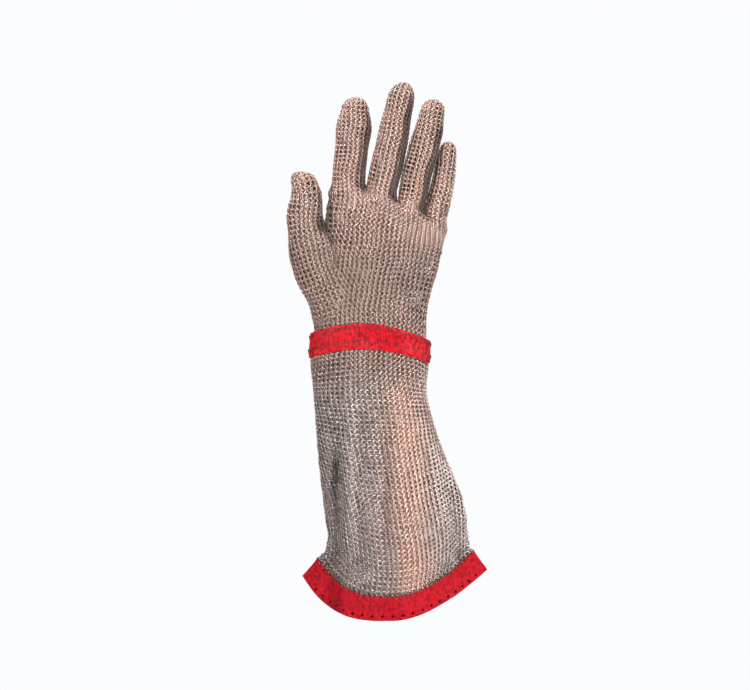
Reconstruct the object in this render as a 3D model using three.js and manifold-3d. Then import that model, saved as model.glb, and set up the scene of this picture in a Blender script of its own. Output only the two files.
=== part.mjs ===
// A long cuff ring mesh safety glove, worn upright: a hand of linked steel rings with four fingers
// and a thumb, a wrist strap with its snap, a flared cuff of the same mesh and a ribbon hem round its mouth.
// Millimetres. +Z points to the fingertips, -Y is the palm side and +X the little finger side.
// The origin is the middle of the cuff's mouth, where the forearm goes in. The tables below count
// their heights from a level 20 mm under it.
import * as THREE from "three";
import Module from "manifold-3d";
import { mergeVertices } from "three/addons/utils/BufferGeometryUtils.js";

const wasm = await Module();
wasm.setup();

// Driving dimensions
const MOUTH = 20; // height of the origin in the tables
const WALL = 2; // thickness of the linked rings
const RIBBON = 1.3; // thickness of the strap and hem ribbon
const GAP = 0.3; // between pieces that touch
const STRAP_LIFT = 2.4; // the strap's hand side edge stands off the mesh
const SLEEVE_SIDES = 36;
const FINGER_SIDES = 14;

const STEEL = { color: 0x9c8980, roughness: 0.42, metalness: 0.9 };
const RIBBON_RED = { color: 0xc8202c, roughness: 0.75, metalness: 0 };
const SNAP_STEEL = { color: 0xb9b6b1, roughness: 0.3, metalness: 1 };

// The sleeve is one tube from the hem to the roots of the fingers, a row for each girth.
// left and right: the outline's edges. zLeft and zRight: their heights. front and back: depth to
// each side. archFront and archBack: how much higher the middle of that side is than its edges.
// corner: 0.5 is an ellipse and 1 a lens with sharp edges. bowLeft and bowRight: how long the
// arch stays level on its way to that edge.
const SLEEVE = [
  { row: "hem fold", left: -71, right: 70.4, zLeft: 34.7, zRight: 39.8, front: 36, back: 34, archFront: -32.5, archBack: -39.5, corner: 1, bowLeft: 3.3, bowRight: 1.7 },
  { row: "hem top", left: -58.6, right: 59.4, zLeft: 49.5, zRight: 55.5, front: 35, back: 33, archFront: -28.8, archBack: -35.8, corner: 0.92, bowLeft: 3, bowRight: 1.8 },
  { row: "flare", left: -52.2, right: 56.4, zLeft: 64, zRight: 69, front: 34.5, back: 32.5, archFront: -27.5, archBack: -33.5, corner: 0.78, bowLeft: 2.6, bowRight: 1.9 },
  { row: "widest arm", left: -54, right: 55.4, zLeft: 79, zRight: 83, front: 33.5, back: 31.5, archFront: -24, archBack: -29, corner: 0.7, bowLeft: 2.4, bowRight: 2 },
  { row: "forearm", left: -55.8, right: 51.6, zLeft: 95, zRight: 98, front: 32, back: 30.5, archFront: -19.5, archBack: -23.5, corner: 0.64, bowLeft: 2.2, bowRight: 2 },
  { row: "mid forearm", left: -58.2, right: 44.6, zLeft: 114.5, zRight: 116, front: 30, back: 29, archFront: -14.5, archBack: -17.5, corner: 0.6, bowLeft: 2, bowRight: 2 },
  { row: "slim forearm", left: -60, right: 37, zLeft: 134, zRight: 134, front: 28, back: 27.5, archFront: -9.5, archBack: -11.5, corner: 0.56, bowLeft: 2, bowRight: 2 },
  { row: "above wrist", left: -61.6, right: 29.8, zLeft: 157.5, zRight: 155.5, front: 25.5, back: 25.5, archFront: -3, archBack: -4.5, corner: 0.52, bowLeft: 2, bowRight: 2 },
  { row: "wrist", left: -63.4, right: 24.4, zLeft: 181, zRight: 178, front: 23.5, back: 24, archFront: 4, archBack: 1, corner: 0.5, bowLeft: 2, bowRight: 2 },
  { row: "strap foot", left: -65.6, right: 25.6, zLeft: 205.5, zRight: 201.4, front: 22.5, back: 23, archFront: 8.7, archBack: 3, corner: 0.5, bowLeft: 2, bowRight: 2 },
  { row: "strap head", left: -62.6, right: 24.2, zLeft: 225, zRight: 219, front: 22, back: 22, archFront: 9.8, archBack: 3, corner: 0.5, bowLeft: 2, bowRight: 2 },
  { row: "heel of palm", left: -62.2, right: 24.4, zLeft: 243, zRight: 238.5, front: 20.5, back: 20, archFront: 6, archBack: 2, corner: 0.48, bowLeft: 2, bowRight: 2 },
  { row: "lower palm", left: -60.8, right: 27.4, zLeft: 260, zRight: 256, front: 19.5, back: 18.5, archFront: 3, archBack: 1.5, corner: 0.46, bowLeft: 2, bowRight: 2 },
  { row: "palm", left: -59.4, right: 32.2, zLeft: 276, zRight: 272.5, front: 18.8, back: 17.2, archFront: 1.5, archBack: 1.5, corner: 0.45, bowLeft: 2, bowRight: 2 },
  { row: "upper palm", left: -57.8, right: 35.4, zLeft: 293, zRight: 287, front: 18, back: 16.2, archFront: 1.5, archBack: 1.5, corner: 0.44, bowLeft: 2, bowRight: 2 },
  { row: "knuckles", left: -54.6, right: 37.4, zLeft: 311, zRight: 297, front: 16.4, back: 15, archFront: 3.5, archBack: 3.5, corner: 0.44, bowLeft: 2, bowRight: 2 },
  { row: "finger roots", left: -51.2, right: 38.2, zLeft: 331, zRight: 303.5, front: 13.8, back: 13.2, archFront: 6.5, archBack: 6.5, corner: 0.45, bowLeft: 2, bowRight: 2 },
];
const rowAt = (name) => SLEEVE.findIndex((r) => r.row === name);
const HEM_STEPS = [0.08, 0.5, rowAt("hem top")]; // from the mesh's edge inside the hem to its top
const HEM_FOLD = 0.05; // the inside of the hem's fold, below the mesh's edge
const STRAP_FOOT = rowAt("strap foot");
const STRAP_HEAD = rowAt("strap head");
const SEAM = (STRAP_FOOT + STRAP_HEAD) / 2; // cuff and hand meet under the strap
const ROOTS = rowAt("finger roots");
const PALM_DOME = 7; // height of the closed top between the fingers

// Folds in the hanging mesh: the height each starts from, where it runs at the wrist and at the
// mouth, how wide it is and how far it stands out there. side: 1 is the palm side and -1 the back.
const FOLDS = [
  { fold: "hanging ridge", side: 1, from: 190, xWrist: -35, xHem: -39, width: 6.5, outWrist: 2, outHem: 6.5 },
  { fold: "edge valley", side: 1, from: 152, xWrist: -43, xHem: -51, width: 6.5, outWrist: -2, outHem: -11.5 },
  { fold: "loose mesh hollow", side: 1, from: 200, xWrist: -20, xHem: -19, width: 10, outWrist: -0.5, outHem: -1.2 },
  { fold: "valley by the forearm", side: 1, from: 190, xWrist: -8, xHem: -6, width: 5, outWrist: -0.6, outHem: -2.6 },
  { fold: "over the forearm", side: 1, from: 200, xWrist: 5, xHem: 14, width: 12, outWrist: 2.5, outHem: 4.5 },
  { fold: "draped crease", side: 1, from: 190, xWrist: 17, xHem: 51, width: 5, outWrist: 0.5, outHem: 3.5 },
  { fold: "outer hollow", side: 1, from: 140, xWrist: 30, xHem: 56, width: 7, outWrist: -2, outHem: -8 },
  { fold: "back ridge", side: -1, from: 200, xWrist: -30, xHem: -28, width: 12, outWrist: 1.5, outHem: 3.5 },
  { fold: "back hollow", side: -1, from: 200, xWrist: -5, xHem: 6, width: 14, outWrist: -1, outHem: -4 },
  { fold: "back over the forearm", side: -1, from: 200, xWrist: 12, xHem: 32, width: 11, outWrist: 1.5, outHem: 3 },
];
const FOLD_TOP = 200; // height of the wrist end of the folds
const FOLD_FOOT = 20; // and of their other end at the mouth
const FOLD_START = 40; // the length on which a fold comes in
const HEM_CALM = { from: 78, to: 30, left: 0.35 }; // the stiff hem flattens the palm side's folds

// Fingers: a row for each joint, from inside the palm to the start of the round tip.
// x, y, z: middle of the finger. wide and deep: half its width and half its depth.
// tip: height of the round end, and lean: how far its top is moved along X.
const FINGERS = {
  index_finger: { tip: 10, lean: 0.3, rows: [
    { x: -38.4, y: 0, z: 309, wide: 12.6, deep: 11.6 },
    { x: -37.1, y: -0.5, z: 323, wide: 13.4, deep: 12 },
    { x: -36.2, y: -1, z: 335, wide: 13.2, deep: 12 },
    { x: -35.9, y: -1.5, z: 349, wide: 12.9, deep: 12 },
    { x: -33.9, y: -2, z: 368, wide: 12.9, deep: 11.8 },
    { x: -32, y: -3, z: 385, wide: 13.8, deep: 11.8 },
    { x: -31, y: -4, z: 398.7, wide: 10.5, deep: 9.8 },
  ] },
  middle_finger: { tip: 12.2, lean: 0.8, rows: [
    { x: -14.8, y: 0, z: 304, wide: 11.5, deep: 11.6 },
    { x: -13.1, y: -0.5, z: 317, wide: 12.1, deep: 12 },
    { x: -11.2, y: -1, z: 330.3, wide: 11.9, deep: 12 },
    { x: -9.3, y: -1.5, z: 342.8, wide: 12.2, deep: 12 },
    { x: -6, y: -2, z: 357, wide: 12.5, deep: 12 },
    { x: -3, y: -2.5, z: 370, wide: 12.3, deep: 11.8 },
    { x: 0, y: -3, z: 386, wide: 11.7, deep: 11.4 },
    { x: 4.6, y: -4.5, z: 407.8, wide: 10.2, deep: 9.6 },
  ] },
  ring_finger: { tip: 10.2, lean: 0.6, rows: [
    { x: 8.4, y: 0, z: 300, wide: 10.2, deep: 11 },
    { x: 10.5, y: -0.5, z: 311.6, wide: 10.6, deep: 11.4 },
    { x: 12.6, y: -1, z: 325, wide: 11, deep: 11.4 },
    { x: 14.8, y: -1.5, z: 337, wide: 11.4, deep: 11.4 },
    { x: 17.2, y: -2, z: 349, wide: 11.7, deep: 11.2 },
    { x: 20.2, y: -2.5, z: 360, wide: 11.8, deep: 11 },
    { x: 23, y: -3, z: 371, wide: 11.7, deep: 10.8 },
    { x: 26.1, y: -3.5, z: 382, wide: 11.1, deep: 10.4 },
    { x: 29.1, y: -4.5, z: 396.6, wide: 9.5, deep: 9 },
  ] },
  little_finger: { tip: 7.6, lean: 0.2, rows: [
    { x: 26.4, y: 1, z: 292, wide: 8.8, deep: 9.4 },
    { x: 29.3, y: 1.5, z: 304, wide: 9.3, deep: 9.6 },
    { x: 31.7, y: 2, z: 316, wide: 9.2, deep: 9.6 },
    { x: 34.6, y: 2.5, z: 329, wide: 9.4, deep: 9.4 },
    { x: 37, y: 2.5, z: 340.5, wide: 9.1, deep: 9 },
    { x: 38.8, y: 2.5, z: 350.6, wide: 8.6, deep: 8.6 },
    { x: 40.4, y: 2, z: 360, wide: 7.6, deep: 8 },
    { x: 41.2, y: 1.5, z: 367, wide: 6.6, deep: 6.8 },
  ] },
  thumb: { tip: 7.4, lean: -3.2, rows: [
    { x: -42, y: -2, z: 228, wide: 9, deep: 8 },
    { x: -48.8, y: -4, z: 241.5, wide: 14.6, deep: 12.8 },
    { x: -54.4, y: -6, z: 255.5, wide: 15.1, deep: 14.4 },
    { x: -60.6, y: -7.5, z: 271, wide: 17.2, deep: 14.8 },
    { x: -65.4, y: -8.5, z: 288, wide: 17.2, deep: 14.4 },
    { x: -68.5, y: -9, z: 302.2, wide: 14.8, deep: 13.4 },
    { x: -69.9, y: -9.5, z: 316.3, wide: 13.9, deep: 12.4 },
    { x: -68.9, y: -10, z: 328.8, wide: 12.4, deep: 11.6 },
    { x: -69.7, y: -10.5, z: 337.2, wide: 11, deep: 10.4 },
    { x: -71.2, y: -11, z: 342.6, wide: 9.5, deep: 9 },
  ] },
};

// Where the fingers' meshes are linked to the palm, as x and z seen from the front: the ends of
// their roots, the lines between neighbours from there up, and the cut round the thumb.
const ROOT_ENDS = [[-58, 325], [-23.7, 327], [0.5, 320.5], [19.4, 312.5], [50, 301]];
const BETWEEN = [
  [[-58, 440]],
  [[-22.8, 336.5], [-21.5, 350], [-14, 380], [-11, 440]],
  [[1.2, 328], [3.2, 341], [7.9, 361], [12.8, 383], [18, 398], [22, 440]],
  [[20.9, 319], [24.3, 331], [28, 344], [32.4, 361], [36.2, 372.5], [42, 385], [60, 400], [60, 440]],
  [[70, 306], [70, 400]],
];
const THUMB_CUT = [[-95, 309], [-54.8, 316], [-54.8, 365], [-95, 365]];

// The strap's closure on the back of the wrist: its free end lies over its other end between two
// places on the way round, and the snap sits in the middle between them.
const OVERLAP = { from: 0.69, to: 0.81, ramp: 0.05 };
const STRAP_SIDES = 48;
const SNAP = { radius: 6.5, plate: 0.9, cap: 4.6, thick: 2.2, sides: 28 };

// A column's value between the rows of a table, on a smooth curve through them.
function smooth(rows, column, at) {
  const last = rows.length - 1;
  const i = Math.min(Math.max(Math.floor(at), 0), last - 1);
  const f = at - i;
  const value = (k) => rows[Math.min(Math.max(k, 0), last)][column];
  const [a, b, c, d] = [value(i - 1), value(i), value(i + 1), value(i + 2)];
  if (f <= 0) return b + (c - b) * f;
  if (f >= 1) return c + (c - b) * (f - 1);
  const rise = (c - a) / 2;
  const fall = (d - b) / 2;
  const f2 = f * f;
  const f3 = f2 * f;
  return (2 * f3 - 3 * f2 + 1) * b + (f3 - 2 * f2 + f) * rise + (3 * f2 - 2 * f3) * c + (f3 - f2) * fall;
}

// How far the folds move the mesh out of the sleeve's plain shape, at a point seen from the front.
function foldOut(side, x, z) {
  const fall = THREE.MathUtils.clamp((FOLD_TOP - z) / (FOLD_TOP - FOLD_FOOT), 0, 1);
  const free = side > 0 ? THREE.MathUtils.smoothstep(z, HEM_CALM.to, HEM_CALM.from) : 1;
  const calm = THREE.MathUtils.lerp(HEM_CALM.left, 1, free);
  return FOLDS.filter((f) => f.side === side).reduce((sum, f) => {
    const off = (x - THREE.MathUtils.lerp(f.xWrist, f.xHem, fall)) / f.width;
    const fade = calm * THREE.MathUtils.smoothstep(f.from - z, 0, FOLD_START);
    return sum + fade * THREE.MathUtils.lerp(f.outWrist, f.outHem, fall) * Math.exp(-off * off);
  }, 0);
}

// A point of the sleeve: at is the place in its table, turn goes once round from the right edge
// over the palm side, and inset moves it into the hand.
function sleevePoint(at, turn, inset) {
  const s = (column) => smooth(SLEEVE, column, at);
  const corner = s("corner");
  const edgeInset = inset * (1 + 0.9 * Math.max(corner - 0.5, 0));
  const across = Math.cos(2 * Math.PI * turn);
  const out = Math.sin(2 * Math.PI * turn);
  const side = out >= 0 ? 1 : -1;
  const half = (s("right") - s("left")) / 2;
  const plainX = (s("right") + s("left")) / 2 + half * across;
  const depth = (side > 0 ? s("front") : s("back")) - inset;
  const bow = across < 0 ? s("bowLeft") : s("bowRight");
  const arch = (side > 0 ? s("archFront") : s("archBack")) * (1 - Math.abs(across) ** bow);
  const z = THREE.MathUtils.lerp(s("zLeft"), s("zRight"), (across + 1) / 2) + arch;
  const rise = Math.abs(out) ** (2 * corner);
  const folds = foldOut(side, plainX, z) * Math.min(1, 1.6 * rise);
  return new THREE.Vector3(plainX - edgeInset * across, -side * (depth * rise + folds), z);
}

const loopOf = (sides, point) => Array.from({ length: sides }, (_, i) => point(i / sides));
const steps = (from, to, count) =>
  Array.from({ length: count + 1 }, (_, i) => THREE.MathUtils.lerp(from, to, i / count));

// A closed mesh from loops of points: each loop is joined to the next, and the first and last are
// closed with fans, or joined to each other if round is true. Each four-sided face is split the
// same way going up or down, so walls that follow each other keep their distance.
function skin(loops, round = false) {
  const sides = loops[0].length;
  const corners = loops.flat();
  const faces = [];
  const at = (k, i) => (k % loops.length) * sides + (i % sides);
  const bands = round ? loops.length : loops.length - 1;
  for (let k = 0; k < bands; k++) {
    const upward = loops[(k + 1) % loops.length][0].z > loops[k][0].z;
    for (let i = 0; i < sides; i++) {
      const [a, b, c, d] = [at(k, i), at(k, i + 1), at(k + 1, i), at(k + 1, i + 1)];
      faces.push(...(upward ? [a, b, c, b, d, c] : [a, b, d, a, d, c]));
    }
  }
  if (!round)
    for (const [k, turned] of [[0, true], [loops.length - 1, false]]) {
      const middle = new THREE.Vector3();
      loops[k].forEach((p) => middle.addScaledVector(p, 1 / sides));
      const hub = corners.push(middle) - 1;
      for (let i = 0; i < sides; i++)
        faces.push(...(turned ? [at(k, i + 1), at(k, i), hub] : [at(k, i), at(k, i + 1), hub]));
    }
  const geometry = new THREE.BufferGeometry().setFromPoints(corners);
  geometry.setIndex(faces);
  return geometry;
}

// Turns a closed geometry into a solid that can be joined and cut, whichever way it was wound.
function solid(geometry) {
  const plain = geometry.clone();
  plain.deleteAttribute("normal");
  plain.deleteAttribute("uv");
  const merged = mergeVertices(plain, 1e-4);
  const triVerts = new Uint32Array(merged.index.array);
  const shape = () =>
    new wasm.Manifold(new wasm.Mesh({ numProp: 3, vertProperties: merged.attributes.position.array, triVerts }));
  const made = shape();
  if (made.volume() > 0) return made;
  for (let i = 0; i < triVerts.length; i += 3)
    [triVerts[i], triVerts[i + 1]] = [triVerts[i + 1], triVerts[i]];
  return shape();
}

function meshOf(name, made, look) {
  const { vertProperties, triVerts, numProp } = made.getMesh();
  const places = new Float32Array((vertProperties.length / numProp) * 3);
  for (let i = 0; i < places.length / 3; i++)
    places.set(vertProperties.subarray(i * numProp, i * numProp + 3), i * 3);
  const geometry = new THREE.BufferGeometry();
  geometry.setAttribute("position", new THREE.BufferAttribute(places, 3));
  geometry.setIndex(new THREE.BufferAttribute(new Uint32Array(triVerts), 1));
  geometry.computeVertexNormals();
  const mesh = new THREE.Mesh(geometry, new THREE.MeshStandardMaterial(look));
  mesh.name = name;
  return mesh;
}

// The hand's main body: the sleeve from under the strap up, closed with a dome at the finger roots.
function palmBody(inset, foot) {
  const rim = inset > 0 ? [] : [loopOf(SLEEVE_SIDES, (t) => sleevePoint(foot, t, WALL + 1))];
  const wall = steps(foot, ROOTS, 9).map((at) => loopOf(SLEEVE_SIDES, (t) => sleevePoint(at, t, inset)));
  const dome = [30, 55, 78].map((degrees) => {
    const lie = THREE.MathUtils.degToRad(degrees);
    const shrink = 14 * (1 - Math.cos(lie));
    return loopOf(SLEEVE_SIDES, (t) => {
      const p = sleevePoint(ROOTS, t, inset + shrink);
      return p.setZ(p.z + (PALM_DOME - inset) * Math.sin(lie));
    });
  });
  return solid(skin([...rim, ...wall, ...dome]));
}

// A finger from its table, with its round tip. Its sections are square to the finger.
function fingerBody({ tip, lean, rows }, inset) {
  const last = rows.length - 1;
  const place = (at) => new THREE.Vector3(...["x", "y", "z"].map((c) => smooth(rows, c, at)));
  const section = (middle, along, wide, deep) => {
    const across = new THREE.Vector3(along.z, 0, -along.x).normalize();
    const out = new THREE.Vector3().crossVectors(across, along).normalize();
    return loopOf(FINGER_SIDES, (t) =>
      middle
        .clone()
        .addScaledVector(across, wide * Math.cos(2 * Math.PI * t))
        .addScaledVector(out, deep * Math.sin(2 * Math.PI * t)),
    );
  };
  const way = (at) => place(at + 0.2).sub(place(at - 0.2)).normalize();
  const loops = steps(0, last, last + 2).map((at) =>
    section(place(at), way(at), smooth(rows, "wide", at) - inset, smooth(rows, "deep", at) - inset),
  );
  const end = way(last);
  for (const degrees of [25, 48, 68, 84]) {
    const lie = THREE.MathUtils.degToRad(degrees);
    const middle = place(last).addScaledVector(end, (tip - inset) * Math.sin(lie));
    middle.x += lean * Math.sin(lie) ** 2;
    const { wide, deep } = rows[last];
    loops.push(section(middle, end, (wide - inset) * Math.cos(lie), (deep - inset) * Math.cos(lie)));
  }
  return solid(skin(loops));
}

// A slab over an outline seen from the front, through the whole depth of the hand. Its first two
// corners, the ends of a root, can be dropped.
function slab(outline, drop) {
  const shape = new THREE.Shape(outline.map(([x, z], i) => new THREE.Vector2(x, i < 2 ? z - drop : z)));
  const made = new THREE.ExtrudeGeometry(shape, { depth: 120, bevelEnabled: false });
  return solid(made.rotateX(Math.PI / 2).translate(0, 60, 0));
}

// The outline round one finger's mesh, kept half a gap off its neighbours
function rootCut(name, gap) {
  const i = Object.keys(FINGERS).indexOf(name);
  if (name === "thumb") return THUMB_CUT;
  const moved = (points, by) => points.map(([x, z]) => [x + by, z]);
  const left = moved([ROOT_ENDS[i], ...BETWEEN[i]], gap / 2);
  const right = moved([ROOT_ENDS[i + 1], ...BETWEEN[i + 1]], -gap / 2);
  return [left[0], ...right, ...left.slice(1).reverse()];
}

// The largest of a solid's separate bodies: what a neighbour's cut leaves loose is dropped.
const mainBody = (made) => made.decompose().reduce((best, body) => (body.volume() > best.volume() ? body : best));

// The hand of ring mesh: one hollow wall, cut at each finger's root where its mesh is linked on
function makeHand() {
  const fingers = Object.entries(FINGERS);
  const joined = (inset, foot) =>
    fingers.reduce((all, [, f]) => all.add(fingerBody(f, inset)), palmBody(inset, foot));
  const whole = joined(0, SEAM + 0.02).subtract(joined(WALL, SEAM - 0.6));
  const nodes = fingers.map(([name]) => [name + "_mesh", whole.intersect(slab(rootCut(name, GAP), 0))]);
  const palm = fingers.reduce((rest, [name]) => rest.subtract(slab(rootCut(name, 0), GAP)), whole);
  return [["palm_mesh", palm], ...nodes].map(([name, made]) => [name, mainBody(made)]);
}

// A band of the sleeve's shape: the walls' insets from outside in, each with its two ends
const bandLoops = (places) =>
  places.map(([at, inset]) => loopOf(SLEEVE_SIDES, (t) => sleevePoint(at, t, inset)));

function makeCuff() {
  const places = [...HEM_STEPS, ...steps(2, SEAM - 0.02, 9)];
  const outer = places.map((at) => [at, 0]);
  const inner = places.map((at) => [at, WALL]).reverse();
  return solid(skin(bandLoops([...outer, ...inner]), true));
}

// The hem ribbon, folded round the edge of the mesh
function makeHem() {
  const wall = (inset, places) => places.map((at) => [at, inset]);
  const outer = [0, ...HEM_STEPS.slice(1)];
  const inner = [HEM_FOLD, ...HEM_STEPS];
  const section = [
    ...wall(-GAP - RIBBON, outer),
    ...wall(-GAP, inner).reverse(),
    ...wall(WALL + GAP, inner),
    ...wall(WALL + GAP + RIBBON, outer).reverse(),
  ];
  return solid(skin(bandLoops(section), true));
}

// How far the strap's free end is lifted to lie over the other one
const strapLift = (turn) =>
  (RIBBON + GAP) * THREE.MathUtils.smoothstep(turn, 1 + OVERLAP.from - OVERLAP.ramp, 1 + OVERLAP.from - 0.008);

// A point on the strap's inner side, or off it by a distance
function strapPoint(at, turn, off) {
  const share = (at - STRAP_FOOT) / (STRAP_HEAD - STRAP_FOOT);
  return sleevePoint(at, turn, -THREE.MathUtils.lerp(GAP, STRAP_LIFT, share) - strapLift(turn) - off);
}

// The wrist strap: a loop of ribbon whose free end lies over it at the back
function makeStrap() {
  const corners = [[STRAP_FOOT, RIBBON], [STRAP_HEAD, RIBBON], [STRAP_HEAD, 0], [STRAP_FOOT, 0]];
  const turns = steps(OVERLAP.from, 1 + OVERLAP.to, STRAP_SIDES);
  return solid(skin(turns.map((turn) => corners.map(([at, off]) => strapPoint(at, turn, off)))));
}

// The snap on the strap's free end: a round plate with a raised cap
function makeSnap() {
  const { radius, plate, cap, thick, sides } = SNAP;
  const turn = 1 + (OVERLAP.from + OVERLAP.to) / 2;
  const on = (at, round) => strapPoint(at, round, RIBBON);
  const along = on(SEAM, turn + 0.01).sub(on(SEAM, turn - 0.01));
  const up = on(SEAM + 0.1, turn).sub(on(SEAM - 0.1, turn));
  const out = new THREE.Vector3().crossVectors(up, along).normalize();
  if (out.y < 0) out.negate();
  const profile = [[0, 0], [radius, 0], [radius, plate], [cap, plate + 0.2], [cap - 0.4, thick - 0.3], [cap - 1.2, thick], [0, thick]];
  const turned = new THREE.LatheGeometry(profile.map(([r, h]) => new THREE.Vector2(r, h)), sides);
  turned.applyQuaternion(new THREE.Quaternion().setFromUnitVectors(new THREE.Vector3(0, 1, 0), out));
  const foot = on(SEAM, turn).addScaledVector(out, GAP);
  return solid(turned.translate(foot.x, foot.y, foot.z));
}

const hand = makeHand();
const glove = new THREE.Group();
for (const [name, made] of hand) glove.add(meshOf(name, made, STEEL));
glove.add(meshOf("cuff_mesh", makeCuff(), STEEL));
glove.add(meshOf("hem_band", makeHem(), RIBBON_RED));
glove.add(meshOf("wrist_strap", makeStrap(), RIBBON_RED));
glove.add(meshOf("strap_snap", makeSnap(), SNAP_STEEL));
glove.position.z = -MOUTH;

export default glove;
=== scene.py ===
"""A long cuff ring mesh safety glove for a left hand, standing in the form it has when worn.

Rows of linked steel rings are laid on the smooth shape of the hand and cuff. A ribbon strap with
a snap goes round the wrist, and a ribbon hem is folded round the cuff's mouth. The tables and the
shapes made from them are in millimetres, as in the part's source. Blender gets metres.
"""
import math

import bpy
import numpy as np
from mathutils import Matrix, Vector, noise
from mathutils.bvhtree import BVHTree
from mathutils.kdtree import KDTree


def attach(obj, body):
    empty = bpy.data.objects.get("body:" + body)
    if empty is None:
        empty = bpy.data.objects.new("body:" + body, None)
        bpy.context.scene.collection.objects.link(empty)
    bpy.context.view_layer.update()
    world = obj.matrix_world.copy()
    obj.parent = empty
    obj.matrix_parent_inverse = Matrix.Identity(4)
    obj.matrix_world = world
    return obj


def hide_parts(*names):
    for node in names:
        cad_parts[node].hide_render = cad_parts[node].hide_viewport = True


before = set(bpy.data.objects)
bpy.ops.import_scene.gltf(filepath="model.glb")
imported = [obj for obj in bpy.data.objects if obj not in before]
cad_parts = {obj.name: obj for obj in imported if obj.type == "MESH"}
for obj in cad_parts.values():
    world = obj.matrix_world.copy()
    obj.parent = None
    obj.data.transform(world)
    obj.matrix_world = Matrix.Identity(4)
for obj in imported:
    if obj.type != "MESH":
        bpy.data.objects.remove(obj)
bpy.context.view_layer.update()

MM = 0.001

# Sizes, as in the part's source
MOUTH = 20  # height of the origin in the tables
WALL = 2
RIBBON = 1.3  # thick
GAP = 0.3
STRAP_LIFT = 2.4  # how far the strap's head stands off the mesh
PALM_DOME = 7
DOME_SHRINK = 14
FOLD_TOP = 200  # heights of the folds
FOLD_FOOT = 20
FOLD_START = 40
HEM_CALM = {"from": 78, "to": 30, "left": 0.35}  # share of the folds left at the hem's front
OVERLAP = {"from": 0.69, "to": 0.81, "ramp": 0.05, "ramp ends": 0.008}  # shares of a turn
OVAL = 0.5  # the corner of a plain oval section
CORNER_IN = 0.9  # how much further in the ends of a section with corners lie
LEAST_DEPTH = 0.5
FOLD_RISE = 1.6  # how soon a fold has its whole depth next to the sleeve's edge
PALM_MIDDLE = 0.25  # of a turn round a tube

SLEEVE_COLUMNS = (
    "left", "right", "z_left", "z_right", "front", "back",
    "arch_front", "arch_back", "corner", "bow_left", "bow_right",
)
SLEEVE = {
    "hem fold": (-71, 70.4, 34.7, 39.8, 36, 34, -32.5, -39.5, 1, 3.3, 1.7),
    "hem top": (-58.6, 59.4, 49.5, 55.5, 35, 33, -28.8, -35.8, 0.92, 3, 1.8),
    "flare": (-52.2, 56.4, 64, 69, 34.5, 32.5, -27.5, -33.5, 0.78, 2.6, 1.9),
    "wide cuff": (-54, 55.4, 79, 83, 33.5, 31.5, -24, -29, 0.7, 2.4, 2),
    "lower cuff": (-55.8, 51.6, 95, 98, 32, 30.5, -19.5, -23.5, 0.64, 2.2, 2),
    "middle cuff": (-58.2, 44.6, 114.5, 116, 30, 29, -14.5, -17.5, 0.6, 2, 2),
    "upper cuff": (-60, 37, 134, 134, 28, 27.5, -9.5, -11.5, 0.56, 2, 2),
    "slim cuff": (-61.6, 29.8, 157.5, 155.5, 25.5, 25.5, -3, -4.5, 0.52, 2, 2),
    "wrist": (-63.4, 24.4, 181, 178, 23.5, 24, 4, 1, 0.5, 2, 2),
    "strap foot": (-65.6, 25.6, 205.5, 201.4, 22.5, 23, 8.7, 3, 0.5, 2, 2),
    "strap head": (-62.6, 24.2, 225, 219, 22, 22, 9.8, 3, 0.5, 2, 2),
    "heel of palm": (-62.2, 24.4, 243, 238.5, 20.5, 20, 6, 2, 0.48, 2, 2),
    "lower palm": (-60.8, 27.4, 260, 256, 19.5, 18.5, 3, 1.5, 0.46, 2, 2),
    "palm": (-59.4, 32.2, 276, 272.5, 18.8, 17.2, 1.5, 1.5, 0.45, 2, 2),
    "upper palm": (-57.8, 35.4, 293, 287, 18, 16.2, 1.5, 1.5, 0.44, 2, 2),
    "knuckles": (-54.6, 37.4, 311, 297, 16.4, 15, 3.5, 3.5, 0.44, 2, 2),
    "finger roots": (-51.2, 38.2, 331, 303.5, 13.8, 13.2, 6.5, 6.5, 0.45, 2, 2),
}
SLEEVE_ROWS = np.array(list(SLEEVE.values()), float)
HEM_TOP = list(SLEEVE).index("hem top")
STRAP_FOOT = list(SLEEVE).index("strap foot")
STRAP_HEAD = list(SLEEVE).index("strap head")
ROOTS = list(SLEEVE).index("finger roots")

# Folds of the hanging mesh. Side 1 is the palm side and -1 the back.
FOLD_COLUMNS = ("side", "from", "x_wrist", "x_hem", "width", "out_wrist", "out_hem")
FOLDS = {
    "hanging ridge": (1, 190, -35, -39, 6.5, 2, 6.5),
    "edge valley": (1, 152, -43, -51, 6.5, -2, -11.5),
    "loose mesh hollow": (1, 200, -20, -19, 10, -0.5, -1.2),
    "valley by the long ridge": (1, 190, -8, -6, 5, -0.6, -2.6),
    "long ridge": (1, 200, 5, 14, 12, 2.5, 4.5),
    "draped crease": (1, 190, 17, 51, 5, 0.5, 3.5),
    "outer hollow": (1, 140, 30, 56, 7, -2, -8),
    "back ridge": (-1, 200, -30, -28, 12, 1.5, 3.5),
    "back hollow": (-1, 200, -5, 6, 14, -1, -4),
    "back long ridge": (-1, 200, 12, 32, 11, 1.5, 3),
}

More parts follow.
